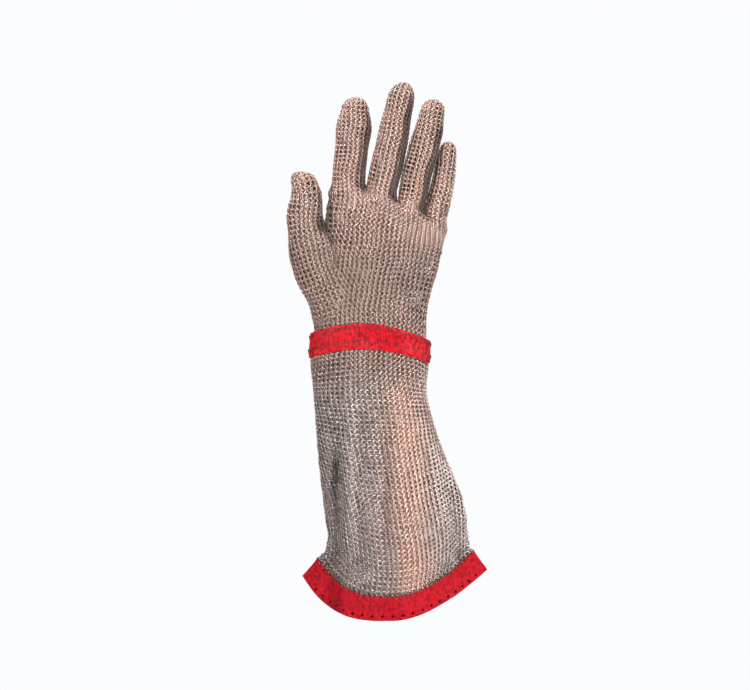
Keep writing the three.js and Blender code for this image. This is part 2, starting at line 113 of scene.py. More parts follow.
# Fingers: the height and lean of the round tip, and for each joint from inside the palm outwards
# its x, y, z, half width and half depth
FINGERS = {
    "index_finger": (10, 0.3, [
        (-38.4, 0, 309, 12.6, 11.6), (-37.1, -0.5, 323, 13.4, 12),
        (-36.2, -1, 335, 13.2, 12), (-35.9, -1.5, 349, 12.9, 12),
        (-33.9, -2, 368, 12.9, 11.8), (-32, -3, 385, 13.8, 11.8),
        (-31, -4, 398.7, 10.5, 9.8),
    ]),
    "middle_finger": (12.2, 0.8, [
        (-14.8, 0, 304, 11.5, 11.6), (-13.1, -0.5, 317, 12.1, 12),
        (-11.2, -1, 330.3, 11.9, 12), (-9.3, -1.5, 342.8, 12.2, 12),
        (-6, -2, 357, 12.5, 12), (-3, -2.5, 370, 12.3, 11.8),
        (0, -3, 386, 11.7, 11.4), (4.6, -4.5, 407.8, 10.2, 9.6),
    ]),
    "ring_finger": (10.2, 0.6, [
        (8.4, 0, 300, 10.2, 11), (10.5, -0.5, 311.6, 10.6, 11.4),
        (12.6, -1, 325, 11, 11.4), (14.8, -1.5, 337, 11.4, 11.4),
        (17.2, -2, 349, 11.7, 11.2), (20.2, -2.5, 360, 11.8, 11),
        (23, -3, 371, 11.7, 10.8), (26.1, -3.5, 382, 11.1, 10.4),
        (29.1, -4.5, 396.6, 9.5, 9),
    ]),
    "little_finger": (7.6, 0.2, [
        (26.4, 1, 292, 8.8, 9.4), (29.3, 1.5, 304, 9.3, 9.6),
        (31.7, 2, 316, 9.2, 9.6), (34.6, 2.5, 329, 9.4, 9.4),
        (37, 2.5, 340.5, 9.1, 9), (38.8, 2.5, 350.6, 8.6, 8.6),
        (40.4, 2, 360, 7.6, 8), (41.2, 1.5, 367, 6.6, 6.8),
    ]),
    "thumb": (7.4, -3.2, [
        (-42, -2, 228, 9, 8), (-48.8, -4, 241.5, 14.6, 12.8),
        (-54.4, -6, 255.5, 15.1, 14.4), (-60.6, -7.5, 271, 17.2, 14.8),
        (-65.4, -8.5, 288, 17.2, 14.4), (-68.5, -9, 302.2, 14.8, 13.4),
        (-69.9, -9.5, 316.3, 13.9, 12.4), (-68.9, -10, 328.8, 12.4, 11.6),
        (-69.7, -10.5, 337.2, 11, 10.4), (-71.2, -11, 342.6, 9.5, 9),
    ]),
}
TUBES = ["sleeve", *FINGERS]
TUBE_START = {"sleeve": 0.78, "fingers": 0.0}  # place in the table where the mesh begins
TUBE_END = {"sleeve": 0.97, "fingers": 0.95}  # share of the closing dome or tip that it covers

# The ring mesh. Lean, tip and unevenness are in degrees.
RING = {
    "radius": 2.1, "wire": 0.61, "sides": 8, "wire sides": 4, "lean": 25, "tip": 13, "uneven": 4,
}
FINGER_RING = {**RING, "radius": 1.98, "wire": 0.68}
FINGER_CLOSER = 0.92  # the fingers' share of the hand's pitch
RING_PITCH = {"cuff": 4.1, "hand": 3.78}  # along a row
ROW_PITCH = {"cuff": 1.95, "hand": 1.86}  # from row to row
ROW_LEAN = {"cuff": 1, "hand": 1.08}  # share of a ring's lean, more where rows are squeezed
HAND_FROM = (150, 190)  # the heights between which the cuff turns into the hand
RING_IN = {"sleeve": 1, "fingers": 1.5}  # how far inside the solid's outer face their middles lie
FRONT_SHARE = 0.27  # of a row, each way from the palm side's middle, has just this pitch
FRONT_MOST = 0.6  # of half a row's rings
LEAST_RINGS = 3  # in a row
FILLET = 15  # from how far off two tubes that cross squarely are rounded into each other
BURIED = 1  # rings deeper than this in another tube are left out
LOOK_OUT = Vector((0.31, 0.92, 0.24)).normalized()  # any way out that runs along no tube
LOOK_PAST = 0.001  # step past a surface that was met
GATHERED = {"up": (296, 314), "down": (332, 346)}  # heights of the finger roots
UNEVEN = {"all over": 0.3, "size": 9, "at the roots": 0.8, "root size": 6}  # in and out
SKEW = {"most": 0.7, "size": 30}  # as a share of a ring's own lean
PULLED = {"cuff": 0.7, "hand": 1.6, "size": 14}  # how far rings move along the mesh
NOISE_SEED = 2
MOST_RINGS = 2400  # in one piece
SEEDS_EACH = 10  # for one solid's pieces
# How far round a ring its place is compared, how hollow or proud it is wholly in a valley or on a
# ridge, and how much less shade is painted in the hand's valleys. Rings in valleys get painted
# shade, and rings on ridges a painted highlight.
RELIEF_SHADE = {"round": 9, "valley": 0.135, "ridge": -0.1, "hand": 0.2}
# How near another finger, how far turned to the side and from what height up a ring gets painted
# shade
BETWEEN = {
    "near": 10, "far": 28, "front": 0.25, "side": 0.65, "left share": 0.35, "up": (264, 286),
    "same way": (0.2, 0.6),
}
WORN = {"hand": 0.75, "ridge": 18}  # share on the hand, and how wide the cuff's ridge is worn
# Shares of painted shade, the heights from palm to tips, and how far left the cuff's painted shade
# begins and is whole
DARKENED = {"palm": 0.9, "tips": 0.15, "up": (245, 315), "cuff": 0.5, "left": (25, 55)}

# The ribbons
STRAP_STEPS = 260  # round the sleeve
HEM_STEPS = 230
STRAP_WIDTH = 19
HEM_WIDTH = 16
HEM_OUT = GAP + WALL / 2 + RIBBON  # from the middle of the mesh to the hem's outer side
# Shares of a turn and of a step up the table over which a ribbon's ways are measured
EDGE_STEPS = (0.003, 0.05)
SNAP_STEPS = (0.01, 0.1)
STRAP_ROWS = 12
HEM_ROWS = 9
ROUND_EDGE = (-60, -20, 20, 60)  # degrees
INNER_FOLD = 0.6  # the inner side's share of the fold's depth
WAVE = {"out": 0.35, "size": 17}
# The holes along the hem: how far in from its fold, and how far out to the sides they go
HOLE = {"radius": 1, "sides": 10, "every": 8, "reach": 1.5, "in": 4.2, "to": 63}
LINK = {
    "radius": 1.9, "wire": 0.4, "sides": 12, "wire sides": 4, "lean": 0, "tip": 0, "uneven": 6,
}
STRAP_LINK = {**LINK, "wire": 0.42}
# The strap's links: how far in from its edges, their lift in degrees, and the turn they go round
SEWN = {"every": 8, "in": 4.2, "lift": 14, "from": 0.02, "to": 0.98}
STRAP_SEED = 91
HEM_SEED = 92
EDGE_TURN = 38  # degrees that a ring round the hem's top edge is turned from edge-on
EDGE_EVERY = 4.35
SNAP_TOP = 1.75  # height of its dished middle
SNAP_SIDES = 48
SNAP_PROFILE = [  # radius and height
    (6.1, 0), (6.4, 0.15), (6.5, 0.4), (6.4, 0.75), (6.1, 0.92), (5.7, 0.86), (5.3, 0.7),
    (4.85, 0.68), (4.62, 0.85), (4.6, 1.5), (4.5, 1.9), (4.25, 2.12), (3.9, 2.2), (3.4, 2.12),
    (2.4, 1.86), (1.2, 1.76),
]

# Colours
STEEL_DARK = (0.29, 0.24, 0.22)
STEEL_LIGHT = (0.66, 0.56, 0.525)
STEEL_WARM = (0.78, 0.525, 0.43)
# The next colour is painted shade on the inner sides of the wires.
STEEL_INSIDE = (0.38, 0.31, 0.285)
# The next colour is the painted shade in folds, between fingers and on darkened rings.
STEEL_PAINTED_SHADE = (0.1, 0.085, 0.08)
RED_DEEP = (0.36, 0.001, 0.006)
RED_BRIGHT = (0.95, 0.008, 0.02)
RED_FADED = (0.9, 0.055, 0.062)
# The next colour is both the ribbon's painted shade and its spots of soil.
RED_SOIL_AND_SHADE = (0.22, 0.003, 0.012)
SNAP_BRIGHT = (0.7, 0.69, 0.67)
SNAP_DULL = (0.52, 0.5, 0.48)
PAPER_DULL = (0.86, 0.865, 0.875)
PAPER_PALE = (0.9, 0.905, 0.915)

# What the looks vary by: a noise's scale in a metre and its detail, and for spots the values at
# which they begin and are full
WIRE_MARKS = (2400, 2)
RIBBON_FUZZ = (1300, 3)
PAPER_GRAIN = (9, 2)
WARM_SPOTS = (28, 3, 0.35, 0.65)
FADED_SPOTS = (60, 3, 0.3, 0.7)
SOIL_SPOTS = (380, 3, 0.42, 0.66)
SNAP_SCRATCHES = (900, 4, 0.45, 0.7)
SNAP_SPOTS = (220, 3, 0.35, 0.7)
# What a look's lightness, roughness, painted shade or relief is added up from, each times its share
# The share of painted light lightens rings on ridges as a painted highlight.
STEEL_LIGHTER = {"tone": 0.5, "marks": 0.25, "lit_share": 0.4}
STEEL_WARMTH = {"even": 0.75, "spots": 0.25}
STEEL_ROUGH = {"even": 0.36, "tone": 0.1, "marks": 0.1, "recess_shade": 0.15}
# How much the fold shade and the darkened share paint each ring in shade
STEEL_SHADE_MIX = {"recess_shade": 0.7, "darkened": 0.34}
STEEL_SHADE = {"even": 0.7, "darkened": 0.3}
WEAVE = {"ribs": 0.45, "threads": 0.3, "fuzz": 1.1}
RIBBON_ROUGH = {"even": 0.66, "fuzz": 0.2}
SNAP_ROUGH = {"even": 0.16, "scratches": 0.12, "dull": 0.1}
# The values between which a look goes from its one end to the other
LIGHT_ENDS = (0.1, 0.95)
# Shares of painted light between which a ring goes from full painted shade to none
SHADE_ENDS = (0, 0.3)
INSIDE_ENDS = (-0.6, 0.3)
WEAVE_ENDS = (-0.2, 1.2)
# The least share of painted shade on the wires' inner sides
INSIDE_SHADE = 0.15
RIB_PITCH = 1.15  # in millimetres, as the threads' pitch
THREAD_PITCH = 0.8
RIBBON_FADED = 0.6
# The ribbon is darkened all over as painted shade, the hem most, and in random spots of soil
RIBBON_SOIL_AND_SHADE = {"all over": 0.5, "spots": 0.8}
STRAP_DARKENED = 0.2
HEM_DARKENED = 0.75

# The studio, in metres
CAMERA_PLACE = (-0.0156, -1.8, 0.1957)
CAMERA_LENS = 110.8
# Each light's place, what it is aimed at, its size, the spread of its beam and its power
LIGHTS = {
    "hand light": ((-1.35, -1.05, 0.7), (-0.02, 0, 0.3), (0.5, 0.5), 30, 0.65),
    "cuff light": ((1.05, -1.2, -0.05), (0, 0, 0.06), (0.5, 0.5), 30, 0.95),
    "front light": ((-0.3, -1.7, 0.9), (-0.01, 0, 0.17), (0.8, 0.8), 120, 4.6),
    "top light": ((0.1, 0.1, 1.5), (-0.01, 0, 0.19), (0.9, 0.9), 120, 5),
    "back light": ((0.4, 1.6, 0.6), (-0.01, 0, 0.19), (1, 1), 120, 5),
}
STUDIO_LIGHT = 0.28
STUDIO_PALE = (0.965, 0.974, 0.99)
FLOOR_HEIGHT = -0.3
FLOOR_RADIUS = 1.6
FLOOR_FADE = (0.45, 0.98)  # shares of the radius where it begins to fade and is gone


def smooth(rows, column, at):
    """A column's value between the rows of a table, on a smooth curve through them."""
    values = rows[:, column]
    last = len(values) - 1
    low = np.clip(np.floor(at), 0, last - 1).astype(int)
    f = np.clip(at - low, 0, 1)
    before = values[np.clip(low - 1, 0, last)]
    start = values[low]
    end = values[low + 1]
    after = values[np.clip(low + 2, 0, last)]
    f2 = f * f
    f3 = f2 * f
    ends = (2 * f3 - 3 * f2 + 1) * start + (3 * f2 - 2 * f3) * end
    return ends + (f3 - 2 * f2 + f) * (end - before) / 2 + (f3 - f2) * (after - start) / 2


def ease(x, low, high):
    t = np.clip((x - low) / (high - low), 0, 1)
    return t * t * (3 - 2 * t)


def unit(vectors):
    return vectors / np.maximum(np.linalg.norm(vectors, axis=-1, keepdims=True), 1e-9)


def spread(*values):
    return np.broadcast_arrays(*(np.asarray(value, float) for value in values))


def rounded(share):
    """How far round a closing dome or tip a place past the table's end is, in radians."""
    return np.clip(share, 0, 1) * math.pi / 2


def lengths(line):
    """The distance along a line of points, from its first point to each of them."""
    return np.concatenate([[0], np.cumsum(np.linalg.norm(np.diff(line, axis=0), axis=1))])


def round_angles(count):
    return np.arange(count) * 2 * math.pi / count


def fold_out(side, x, z):
    """How far the folds move the mesh out of the sleeve's plain shape."""
    fall = np.clip((FOLD_TOP - z) / (FOLD_TOP - FOLD_FOOT), 0, 1)
    free = np.where(side > 0, ease(z, HEM_CALM["to"], HEM_CALM["from"]), 1)
    calm = HEM_CALM["left"] + (1 - HEM_CALM["left"]) * free
    total = np.zeros_like(x)
    for row in FOLDS.values():
        fold = dict(zip(FOLD_COLUMNS, row))
        middle = fold["x_wrist"] + (fold["x_hem"] - fold["x_wrist"]) * fall
        out = fold["out_wrist"] + (fold["out_hem"] - fold["out_wrist"]) * fall
        fade = calm * ease(fold["from"] - z, 0, FOLD_START)
        bump = fade * out * np.exp(-(((x - middle) / fold["width"]) ** 2))
        total = total + np.where(side == fold["side"], bump, 0)
    return total


def sleeve_point(at, turn, inset):
    """Points of the sleeve. at is the place in its table, and past its last row it closes with a
    dome. turn goes once round from the right edge over the palm side."""
    at, turn, inset = spread(at, turn, inset)
    lie = rounded(at - ROOTS)
    depth_in = inset + DOME_SHRINK * (1 - np.cos(lie))
    s = {name: smooth(SLEEVE_ROWS, i, at) for i, name in enumerate(SLEEVE_COLUMNS)}
    edge_in = depth_in * (1 + CORNER_IN * np.maximum(s["corner"] - OVAL, 0))
    across = np.cos(2 * math.pi * turn)
    out = np.sin(2 * math.pi * turn)
    side = np.where(out >= 0, 1, -1)
    x = (s["right"] + s["left"]) / 2 + (s["right"] - s["left"]) / 2 * across
    depth = np.maximum(np.where(side > 0, s["front"], s["back"]) - depth_in, LEAST_DEPTH)
    bow = np.where(across < 0, s["bow_left"], s["bow_right"])
    arch = np.where(side > 0, s["arch_front"], s["arch_back"]) * (1 - np.abs(across) ** bow)
    z = s["z_left"] + (s["z_right"] - s["z_left"]) * (across + 1) / 2 + arch
    rise = np.abs(out) ** (2 * s["corner"])
    y = -side * (depth * rise + fold_out(side, x, z) * np.minimum(1, FOLD_RISE * rise))
    top = (PALM_DOME - inset) * np.sin(lie)
    return np.stack([x - edge_in * across, y, z + top - MOUTH], -1)


def finger_point(name, at, turn, inset):
    """Points of a finger. Past its last joint it closes with a round tip."""
    tip, lean, table = FINGERS[name]
    rows = np.array(table, float)
    last = len(rows) - 1
    step = 0.2
    at, turn, inset = spread(at, turn, inset)

    def middle(place):
        return np.stack([smooth(rows, i, place) for i in range(3)], -1)

    along = unit(middle(np.minimum(at + step, last)) - middle(np.clip(at - step, 0, last - step)))
    across = unit(np.stack([along[..., 2], 0 * at, -along[..., 0]], -1))
    out = unit(np.cross(across, along))
    lie = rounded(at - last)
    wide = (smooth(rows, 3, at) - inset) * np.cos(lie) * np.cos(2 * math.pi * turn)
    deep = (smooth(rows, 4, at) - inset) * np.cos(lie) * np.sin(2 * math.pi * turn)
    rise = (tip - inset) * np.sin(lie)
    point = middle(at) + along * rise[..., None] + across * wide[..., None] + out * deep[..., None]
    point[..., 0] += lean * np.sin(lie) ** 2
    point[..., 2] -= MOUTH
    return point


def tube_of(name):
    """One tube's shape in the middle of its rings, and where it starts and ends."""
    kind = "sleeve" if name == "sleeve" else "fingers"
    last = ROOTS if name == "sleeve" else len(FINGERS[name][2]) - 1

    def shape(at, turn):
        if name == "sleeve":
            return sleeve_point(at, turn, RING_IN[kind])
        return finger_point(name, at, turn, RING_IN[kind])

    return shape, TUBE_START[kind], last + TUBE_END[kind]


def tube_tree(name):
    """A tube's closed surface, to measure distances from."""
    point, start, end = tube_of(name)
    sides = 72
    loops = 90
    at = np.linspace(start, end, loops)
    corners = point(at[:, None], np.arange(sides)[None, :] / sides).reshape(-1, 3)
    hub = len(corners)
    above = hub - sides
    faces = []
    for k in range(loops - 1):
        for i in range(sides):
            j = (i + 1) % sides
            faces.append((k * sides + i, (k + 1) * sides + i, (k + 1) * sides + j, k * sides + j))
    for i in range(sides):
        j = (i + 1) % sides
        faces.append((i, j, hub))
        faces.append((above + j, above + i, hub + 1))
    corners = np.concatenate([corners, [corners[:sides].mean(0)], [corners[above:].mean(0)]])
    return BVHTree.FromPolygons([Vector(corner) for corner in corners], faces)


def hand_share(height):
    """0 on the cuff and 1 on the hand."""
    return ease(height, *HAND_FROM)


def at_height(values, height):
    """Something that differs on the cuff and on the hand: its value for either or in between."""
    return values["cuff"] + (values["hand"] - values["cuff"]) * hand_share(height)


def row_places(point, start, end, closer):
    """Where each row of rings lies along a tube, measured on its palm side."""
    fine = np.linspace(start, end, 600)
    line = point(fine, PALM_MIDDLE)
    steps = np.diff(lengths(line)) / (closer * at_height(ROW_PITCH, line[1:, 2]))
    rows = np.concatenate([[0], np.cumsum(steps)])
    return np.interp(np.linspace(0, rows[-1], int(round(rows[-1])) + 1), rows, fine)


def row_turns(point, at, odd, closer):
    """Where one row's rings lie on the way round. The palm side has the plain pitch, and the back
    takes up what is left, so that the row closes on a whole ring."""
    fine = np.linspace(PALM_MIDDLE, 1 + PALM_MIDDLE, 361)
    length = lengths(point(at, fine))
    total = length[-1]
    pitch = closer * at_height(RING_PITCH, point(at, PALM_MIDDLE)[2])
    rings = max(int(round(total / pitch)), LEAST_RINGS)
    half = rings / 2
    even = min(FRONT_SHARE * total / pitch, FRONT_MOST * half)
    count = np.arange(-rings, rings + 1) + 0.5 * odd
    count = count[(count > -half + 1e-6) & (count <= half + 1e-6)]
    beyond = np.maximum(np.abs(count) - even, 0)
    stretch = (total / 2 - even * pitch) / (half - even)
    way = np.sign(count) * (np.minimum(np.abs(count), even) * pitch + beyond * stretch)
    return np.interp(way % total, length, fine)


def lay_rows(name):
    """The rings of one tube: their places, the ways out and along the row there, their lean."""
    point, start, end = tube_of(name)
    closer = FINGER_CLOSER if "finger" in name else 1
    round_step = 0.004
    up_step = 0.03
    rows = []
    for j, at in enumerate(row_places(point, start, end, closer)):
        turns = row_turns(point, at, j % 2, closer)
        way = unit(point(at, turns - round_step) - point(at, turns + round_step))
        up = point(at + up_step, turns) - point(at - up_step, turns)
        lean = at_height(ROW_LEAN, point(at, PALM_MIDDLE)[2]) * (1 if j % 2 else -1)
        rows.append({
            "place": point(at, turns),
            "outward": unit(np.cross(way, up)),
            "row_way": way,
            "lean": np.full(len(turns), lean),
        })
    return gather(rows)


def gather(parts):
    return {key: np.concatenate([part[key] for part in parts]) for key in parts[0]}


def pick(rings, which):
    return {key: value[which] for key, value in rings.items()}


def is_inside(tree, place):
    """Whether a closed surface is met an odd number of times on the way out from a place."""
    met = 0
    start = Vector(place)
    while True:
        hit = tree.ray_cast(start, LOOK_OUT)[0]
        if hit is None:
            return met % 2 == 1
        met += 1
        start = hit + LOOK_OUT * LOOK_PAST


def off_tube(tree, place):
    """How far a place is off a closed surface, less than 0 inside it, and the way out there."""
    _, facing, _, far = tree.find_nearest(Vector(place))
    if is_inside(tree, place):
        far = -far
    return far, np.array(facing)


def hidden_between(off, out, facing, height):
    """How deep a ring lies beside another finger, from 0 to 1, as a share of painted shade, and
    less on the thumb's side, which faces the light. It is 0 where both look the same way, as on the
    outer side of the little finger's root."""
    beside = ease(abs(out[0]), BETWEEN["front"], BETWEEN["side"]) * ease(height, *BETWEEN["up"])
    beside *= 1 - ease(float(np.dot(out, facing)), *BETWEEN["same way"])
    # The sides facing right, away from the light, are painted darker
    share = 1 if out[0] > 0 else BETWEEN["left share"]
    return share * beside * (1 - ease(off, BETWEEN["near"], BETWEEN["far"]))


def lay_mesh():
    """All rings of the glove: each tube's rows, rounded into each other where the tubes meet."""
    trees = {name: tube_tree(name) for name in TUBES}
    parts = []
    for name in TUBES:
        rings = lay_rows(name)
        rings["hidden"] = np.zeros(len(rings["place"]))
        keep = np.ones(len(rings["place"]), bool)
        for i, (place, out) in enumerate(zip(rings["place"], rings["outward"])):
            for other in TUBES:
                if other == name:
                    continue
                off, facing = off_tube(trees[other], place)
                hidden = hidden_between(off, out, facing, place[2])
                rings["hidden"][i] = max(rings["hidden"][i], hidden)
                keep[i] &= off > -BURIED
                crossing = float(np.linalg.norm(np.cross(facing, out)))
                reach = FILLET * crossing * (1 + float(facing @ out)) / 2
                if "sleeve" in (name, other) and keep[i] and abs(off) < reach:
                    share = 1 - abs(off) / reach
                    push = share * share * reach / 4 - min(off, 0)
                    out[:] = unit(out * (1 - share / 2) + facing * share / 2)
                    place += out * push
        parts.append(pick(rings, keep))
    return uneven(gather(parts))


def uneven(rings):
    """Moves the mesh in and out a little, and more at the finger roots, where it is gathered. It
    is also pulled here and there, so that rings move along it and lean over to one side."""
    for i, (place, out, way) in enumerate(zip(rings["place"], rings["outward"], rings["row_way"])):
        height = place[2] + MOUTH
        gathered = ease(height, *GATHERED["up"]) * (1 - ease(height, *GATHERED["down"]))
        rise = UNEVEN["all over"] * noise.noise(Vector(place) / UNEVEN["size"])
        rise += UNEVEN["at the roots"] * gathered * noise.noise(Vector(place) / UNEVEN["root size"])
        place += out * rise
        rings["lean"][i] += SKEW["most"] * noise.noise(Vector(place) / SKEW["size"])
        pulled = np.array(noise.noise_vector(Vector(place) / PULLED["size"]))
        pulled *= at_height(PULLED, place[2])
        place += pulled - out * (pulled @ out)
        way[:] = unit(way - out * (way @ out))
    return rings


def how_lit(rings):
    """How much light is painted on each ring: 0 in a fold or between fingers, which are painted in
    shade, and 1 on a ridge, which is painted lighter as a highlight."""
    places = rings["place"]
    tree = KDTree(len(places))
    for i, place in enumerate(places):
        tree.insert(place, i)
    tree.balance()
    lit_share = np.zeros(len(places))
    for i, place in enumerate(places):
        near = [j for _, j, _ in tree.find_range(place, RELIEF_SHADE["round"])]
        near = [j for j in near if rings["outward"][j] @ rings["outward"][i] > 0]
        rise = (places[near] - place) @ rings["outward"][i]
        lit_share[i] = rise.mean() / RELIEF_SHADE["round"]
    most = 1 - RELIEF_SHADE["hand"] * hand_share(places[:, 2])
    hollow = np.minimum(ease(lit_share, RELIEF_SHADE["ridge"], RELIEF_SHADE["valley"]), most)
    return (1 - hollow) * (1 - rings["hidden"])


def how_worn(rings):
    """How warm each ring's tone is from wear, on the hand and the cuff's long ridge."""
    x, _, z = rings["place"].T
    line = dict(zip(FOLD_COLUMNS, FOLDS["long ridge"]))
    fall = np.clip((FOLD_TOP - MOUTH - z) / (FOLD_TOP - FOLD_FOOT), 0, 1)
    off = (x - line["x_wrist"] - (line["x_hem"] - line["x_wrist"]) * fall) / WORN["ridge"]
    return np.maximum(WORN["hand"] * hand_share(z), np.exp(-off * off) * (1 - hand_share(z)))


def how_darkened(rings):
    """How much darker each ring is painted, from 0 to 1, as painted shade: the palm more than the
    fingers, and the cuff's left side, away from the light.
    """
    x, _, z = rings["place"].T
    up = ease(z, *DARKENED["up"])
    # The cuff's left side is darker as painted shade, away from the light
    cuff = DARKENED["cuff"] * ease(-x, *DARKENED["left"])
    return at_height({"cuff": cuff, "hand": DARKENED["palm"] * (1 - up) + DARKENED["tips"] * up}, z)


def nearest_solids(places):
    """The name of the solid that each ring stands on."""
    trees = {}
    for name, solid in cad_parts.items():
        if name.endswith("_mesh"):
            corners = [corner.co for corner in solid.data.vertices]
            faces = [face.vertices for face in solid.data.polygons]
            trees[name] = BVHTree.FromPolygons(corners, faces)
    names = sorted(trees)
    far = [[trees[name].find_nearest(Vector(place * MM))[3] for name in names] for place in places]
    return np.array(names)[np.argmin(far, axis=1)]


class Value:
    """A number that varies over a surface. Sums written on it become Math nodes."""

    def __init__(self, wiring, socket):
        self.wiring = wiring
        self.socket = socket

    def maths(self, operation, *values):
        sockets = dict(enumerate(values))
        return self.wiring.value("ShaderNodeMath", {"operation": operation}, sockets)

    def __add__(self, other):
        return self.maths("ADD", self, other)

    def __rsub__(self, other):
        return self.maths("SUBTRACT", other, self)

    def __mul__(self, other):
        return self.maths("MULTIPLY", self, other)

    __radd__ = __add__
    __rmul__ = __mul__


def weigh(shares, values, total=0):
    """Adds values up, each times its own share."""
    for name, share in shares.items():
        total = total + values[name] * share
    return total


class Wiring:
    """Adds nodes to a tree, sets them and joins their sockets."""

    def __init__(self, tree):
        self.tree = tree

    def feed(self, socket, value):
        if isinstance(value, Value):
            value = value.socket
        if isinstance(value, bpy.types.NodeSocket):
            self.tree.links.new(value, socket)
        else:
            socket.default_value = value

    def node(self, kind, settings=None, sockets=None):
        made = self.tree.nodes.new(kind)
        for name, value in (settings or {}).items():
            setattr(made, name, value)
        for name, value in (sockets or {}).items():
            self.feed(made.inputs[name], value)
        return made

    def value(self, kind, settings=None, sockets=None, output=0):
        return Value(self, self.node(kind, settings, sockets).outputs[output])

    def ramp(self, value, low, high):
        """From 0 to 1, smoothly, as a value goes from low to high."""
        settings = {"interpolation_type": "SMOOTHSTEP"}
        return self.value("ShaderNodeMapRange", settings, {"Value": value, 1: low, 2: high})

    def mix(self, share, one, other):
        """A colour between two others."""
        ends = [end if isinstance(end, Value) else (*end, 1) for end in (one, other)]
        sockets = {0: share, 6: ends[0], 7: ends[1]}
        return self.value("ShaderNodeMix", {"data_type": "RGBA"}, sockets, 2)

    def noise(self, place, scale, detail):
        sockets = {"Vector": place, "Scale": scale, "Detail": detail}
        return self.value("ShaderNodeTexNoise", None, sockets)

    def spots(self, place, scale, detail, low, high):
        """A noise with only its high places left."""
        return self.ramp(self.noise(place, scale, detail), low, high)

    def attribute(self, name):
        return self.value("ShaderNodeAttribute", {"attribute_name": name}, None, 2)

    def waves(self, socket, pitch):
        turned = Value(self, socket) * (2 * math.pi / pitch)
        return turned.maths("SINE", turned)

    def bump(self, height, strength, millimetres):
        sockets = {"Strength": strength, "Distance": millimetres * MM, "Height": height}
        return self.value("ShaderNodeBump", None, sockets)


def ring_tree():
    """Sets a ring on every point, turned to the point's own ways."""
    tree = bpy.data.node_groups.new("linked rings", "GeometryNodeTree")
    kinds = {
        "Geometry": ["Points"],
        "Float": ["Ring radius", "Wire radius", "Lean", "Tip", "Unevenness"],
        "Int": ["Ring sides", "Wire sides", "Seed"],
        "Material": ["Steel"],
    }
    for kind, names in kinds.items():
        for name in names:
            tree.interface.new_socket(name, in_out="INPUT", socket_type="NodeSocket" + kind)
    tree.interface.new_socket("Rings", in_out="OUTPUT", socket_type="NodeSocketGeometry")
    w = Wiring(tree)
    given = w.node("NodeGroupInput").outputs

    def stored(name, kind):
        return w.value("GeometryNodeInputNamedAttribute", {"data_type": kind}, {"Name": name})

    def chance(low, high, seed):
        sockets = {2: low, 3: high, "Seed": seed}
        return w.value("FunctionNodeRandomValue", {"data_type": "FLOAT"}, sockets, 1)

    def circle(sides, radius):
        sockets = {"Resolution": given[sides], "Radius": given[radius]}
        return w.value("GeometryNodeCurvePrimitiveCircle", None, sockets)

    line = circle("Ring sides", "Ring radius")
    wire = circle("Wire sides", "Wire radius")
    ring = w.value("GeometryNodeCurveToMesh", None, {"Curve": line, "Profile Curve": wire})
    toned = w.value(
        "GeometryNodeStoreNamedAttribute",
        {"data_type": "FLOAT", "domain": "POINT"},
        {"Geometry": given["Points"], "Name": "tone", "Value": chance(0, 1, given["Seed"])},
    )
    facing = w.value(
        "FunctionNodeAxesToRotation",
        {"primary_axis": "Z", "secondary_axis": "X"},
        {0: stored("outward", "FLOAT_VECTOR"), 1: stored("row_way", "FLOAT_VECTOR")},
    )
    swing = chance(-1, 1, Value(w, given["Seed"]) + 1) * given["Unevenness"]
    lean = stored("lean", "FLOAT") * given["Lean"] + swing
    leaned = w.value("ShaderNodeCombineXYZ", None, {"X": swing + given["Tip"], "Y": lean})
    sockets = {"Rotation": facing, "Rotate By": leaned}
    turned = w.value("FunctionNodeRotateRotation", {"rotation_space": "LOCAL"}, sockets)
    sockets = {"Points": toned, "Instance": ring, "Rotation": turned}
    placed = w.value("GeometryNodeInstanceOnPoints", None, sockets)
    shaded = w.value("GeometryNodeSetShadeSmooth", None, {"Geometry": placed})
    real = w.value("GeometryNodeRealizeInstances", None, {"Geometry": shaded})
    sockets = {0: w.value("GeometryNodeInputNormal"), 1: stored("outward", "FLOAT_VECTOR")}
    outside = w.value("ShaderNodeVectorMath", {"operation": "DOT_PRODUCT"}, sockets, 1)
    sided = w.value(
        "GeometryNodeStoreNamedAttribute",
        {"data_type": "FLOAT", "domain": "POINT"},
        {"Geometry": real, "Name": "outside", "Value": outside},
    )
    sockets = {"Geometry": sided, "Material": given["Steel"]}
    w.node("NodeGroupOutput", None, {"Rings": w.value("GeometryNodeSetMaterial", None, sockets)})
    return tree


def plain_mesh(holder):
    """What an object's modifiers make of it, as a plain mesh. The object is removed."""
    bpy.context.view_layer.update()
    depsgraph = bpy.context.evaluated_depsgraph_get()
    made = bpy.data.meshes.new_from_object(holder.evaluated_get(depsgraph))
    bpy.data.objects.remove(holder)
    return made


def place_object(name, mesh):
    made = bpy.data.objects.new(name, mesh)
    bpy.context.scene.collection.objects.link(made)
    return made


def add_piece(name, mesh, slot, *solids):
    """Adds a finished piece of the glove, which stands for some of the part's solids."""
    piece = place_object(name, mesh)
    mesh.name = name
    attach(piece, "root")
    if solids:
        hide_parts(*solids)
    return piece


def bake_map(mesh, faces_each):
    """A map with a small square of its own for each face of each ring."""
    rings = len(mesh.polygons) // faces_each
    free = 0.04
    cells = math.ceil(math.sqrt(rings))
    wide = math.ceil(math.sqrt(faces_each))
    high = math.ceil(faces_each / wide)
    loops = np.arange(len(mesh.loops))
    face = loops // 4
    corner = loops % 4
    ring = face // faces_each
    own = face % faces_each
    u = own % wide + np.where((corner == 1) | (corner == 2), 1 - free, free)
    v = own // wide + np.where(corner >= 2, 1 - free, free)
    uv = np.stack([(ring % cells + u / wide) / cells, (ring // cells + v / high) / cells], -1)
    mesh.uv_layers.new(name="OFBake").data.foreach_set("uv", uv.ravel())


